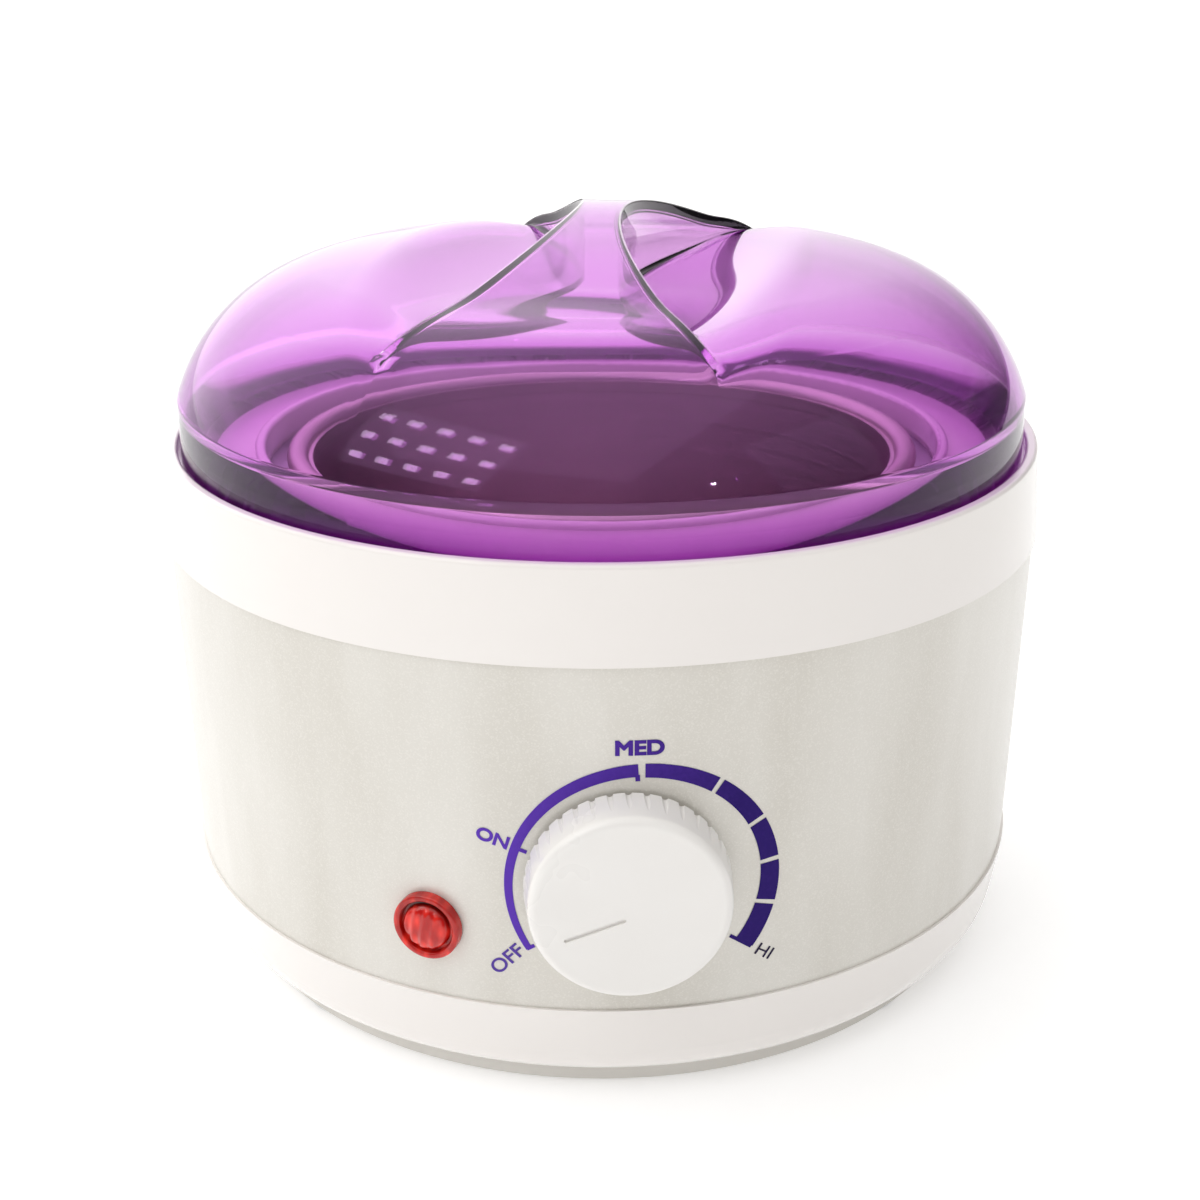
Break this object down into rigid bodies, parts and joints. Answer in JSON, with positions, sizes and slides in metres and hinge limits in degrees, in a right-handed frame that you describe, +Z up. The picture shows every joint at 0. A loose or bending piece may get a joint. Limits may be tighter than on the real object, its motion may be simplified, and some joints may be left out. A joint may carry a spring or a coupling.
{
  "type": "wax warmer pot",
  "caption": "Round table-top wax warmer with a lift-out metal pot in a heated well, a clear tinted domed lid with a finger-scoop handle, a front heat knob and a pilot lamp.",
  "frame": {"origin": "on the pot's axis, in the plane that the warmer stands on", "axes": "+Z up, -Y towards the front with the control knob, +Y towards the power inlet, +X to the right of someone facing the front"},
  "size_m": [0.18, 0.1897, 0.1493],
  "materials": {
    "case_white": "moulded ABS, glossy white",
    "panel_grey": "moulded ABS, pearl grey, satin gloss",
    "cover_white": "moulded, fine matt texture",
    "foot_rubber": "soft, matt",
    "screw_steel": "zinc plated",
    "well_aluminium": "drawn, satin",
    "pot_aluminium": "spun, satin",
    "silicone": "silicone, matt",
    "heater_sheath": "steel sheath over mica, dull",
    "clamp_steel": "spring steel strip",
    "terminal_brass": "nickelled brass, dull",
    "collar_ceramic": "unglazed",
    "fuse_can": "lacquered can",
    "fuse_braid": "woven glass sleeve",
    "shield_aluminium": "pressed sheet",
    "bracket_steel": "zinc plated sheet",
    "thermostat_ceramic": "steatite, unglazed",
    "knob_white": "moulded, satin gloss",
    "spring_steel": "spring steel",
    "lens_red": "moulded, translucent red",
    "cap_plastic": "moulded, matt",
    "neon_glass": "clear glass",
    "resistor_body": "lacquered",
    "inlet_black": "moulded, matt black",
    "block_nylon": "natural nylon",
    "wire_brown": "heat-resistant insulation",
    "wire_blue": "heat-resistant insulation",
    "wire_white": "heat-resistant insulation",
    "lid_purple": "moulded, clear purple tint, glossy"
  },
  "bodies": {
    "warmer": {"base_shell": "case_white", "bottom_cover": "cover_white", "anti_slip_ring": "foot_rubber", "body_band": "panel_grey", "top_ring": "case_white", "case_screws": "screw_steel", "heating_well": "well_aluminium", "well_gasket": "silicone", "well_screws": "screw_steel", "heater_band": "heater_sheath", "heater_clamp": "clamp_steel", "clamp_screw": "screw_steel", "clamp_nut": "screw_steel", "heater_terminals": "terminal_brass", "terminal_collars": "collar_ceramic", "thermal_fuse": "fuse_can", "fuse_sleeve": "fuse_braid", "fuse_clip": "spring_steel", "heat_shield": "shield_aluminium", "shield_screws": "screw_steel", "thermostat_bracket": "bracket_steel", "bracket_screws": "screw_steel", "thermostat_body": "thermostat_ceramic", "thermostat_tabs": "terminal_brass", "thermostat_bush": "terminal_brass", "thermostat_nut": "screw_steel", "indicator_lens": "lens_red", "lamp_retainer": "spring_steel", "lamp_cap": "cap_plastic", "neon_lamp": "neon_glass", "lamp_resistor": "resistor_body", "power_inlet": "inlet_black", "inlet_pins": "terminal_brass", "inlet_screws": "screw_steel", "terminal_block": "block_nylon", "terminal_sleeves": "terminal_brass", "terminal_screws": "screw_steel", "block_screws": "screw_steel", "live_supply_wire": "wire_brown", "neutral_supply_wire": "wire_blue", "fuse_feed_wire": "wire_brown", "thermostat_feed_wire": "wire_white", "heater_feed_wire": "wire_white", "heater_return_wire": "wire_blue", "lamp_feed_wire": "wire_white", "lamp_return_wire": "wire_blue"},
    "knob": {"knob": "knob_white", "knob_spring": "spring_steel", "control_shaft": "screw_steel"},
    "pot": {"wax_pot": "pot_aluminium"},
    "lid": {"lid": "lid_purple"}
  },
  "joints": [
    {"name": "knob_turn", "type": "hinge", "parent": "warmer", "child": "knob", "pos_m": [0, 0, 0.0473], "axis": [-0.0489, 0.9988, 0], "range_deg": [-14, 235]},
    {"name": "pot_lift", "type": "slide", "parent": "warmer", "child": "pot", "axis": [0, 0, 1], "range_m": [0, 0.09]},
    {"name": "lid_lift", "type": "slide", "parent": "pot", "child": "lid", "axis": [0, 0, 1], "range_m": [0, 0.1]}
  ]
}
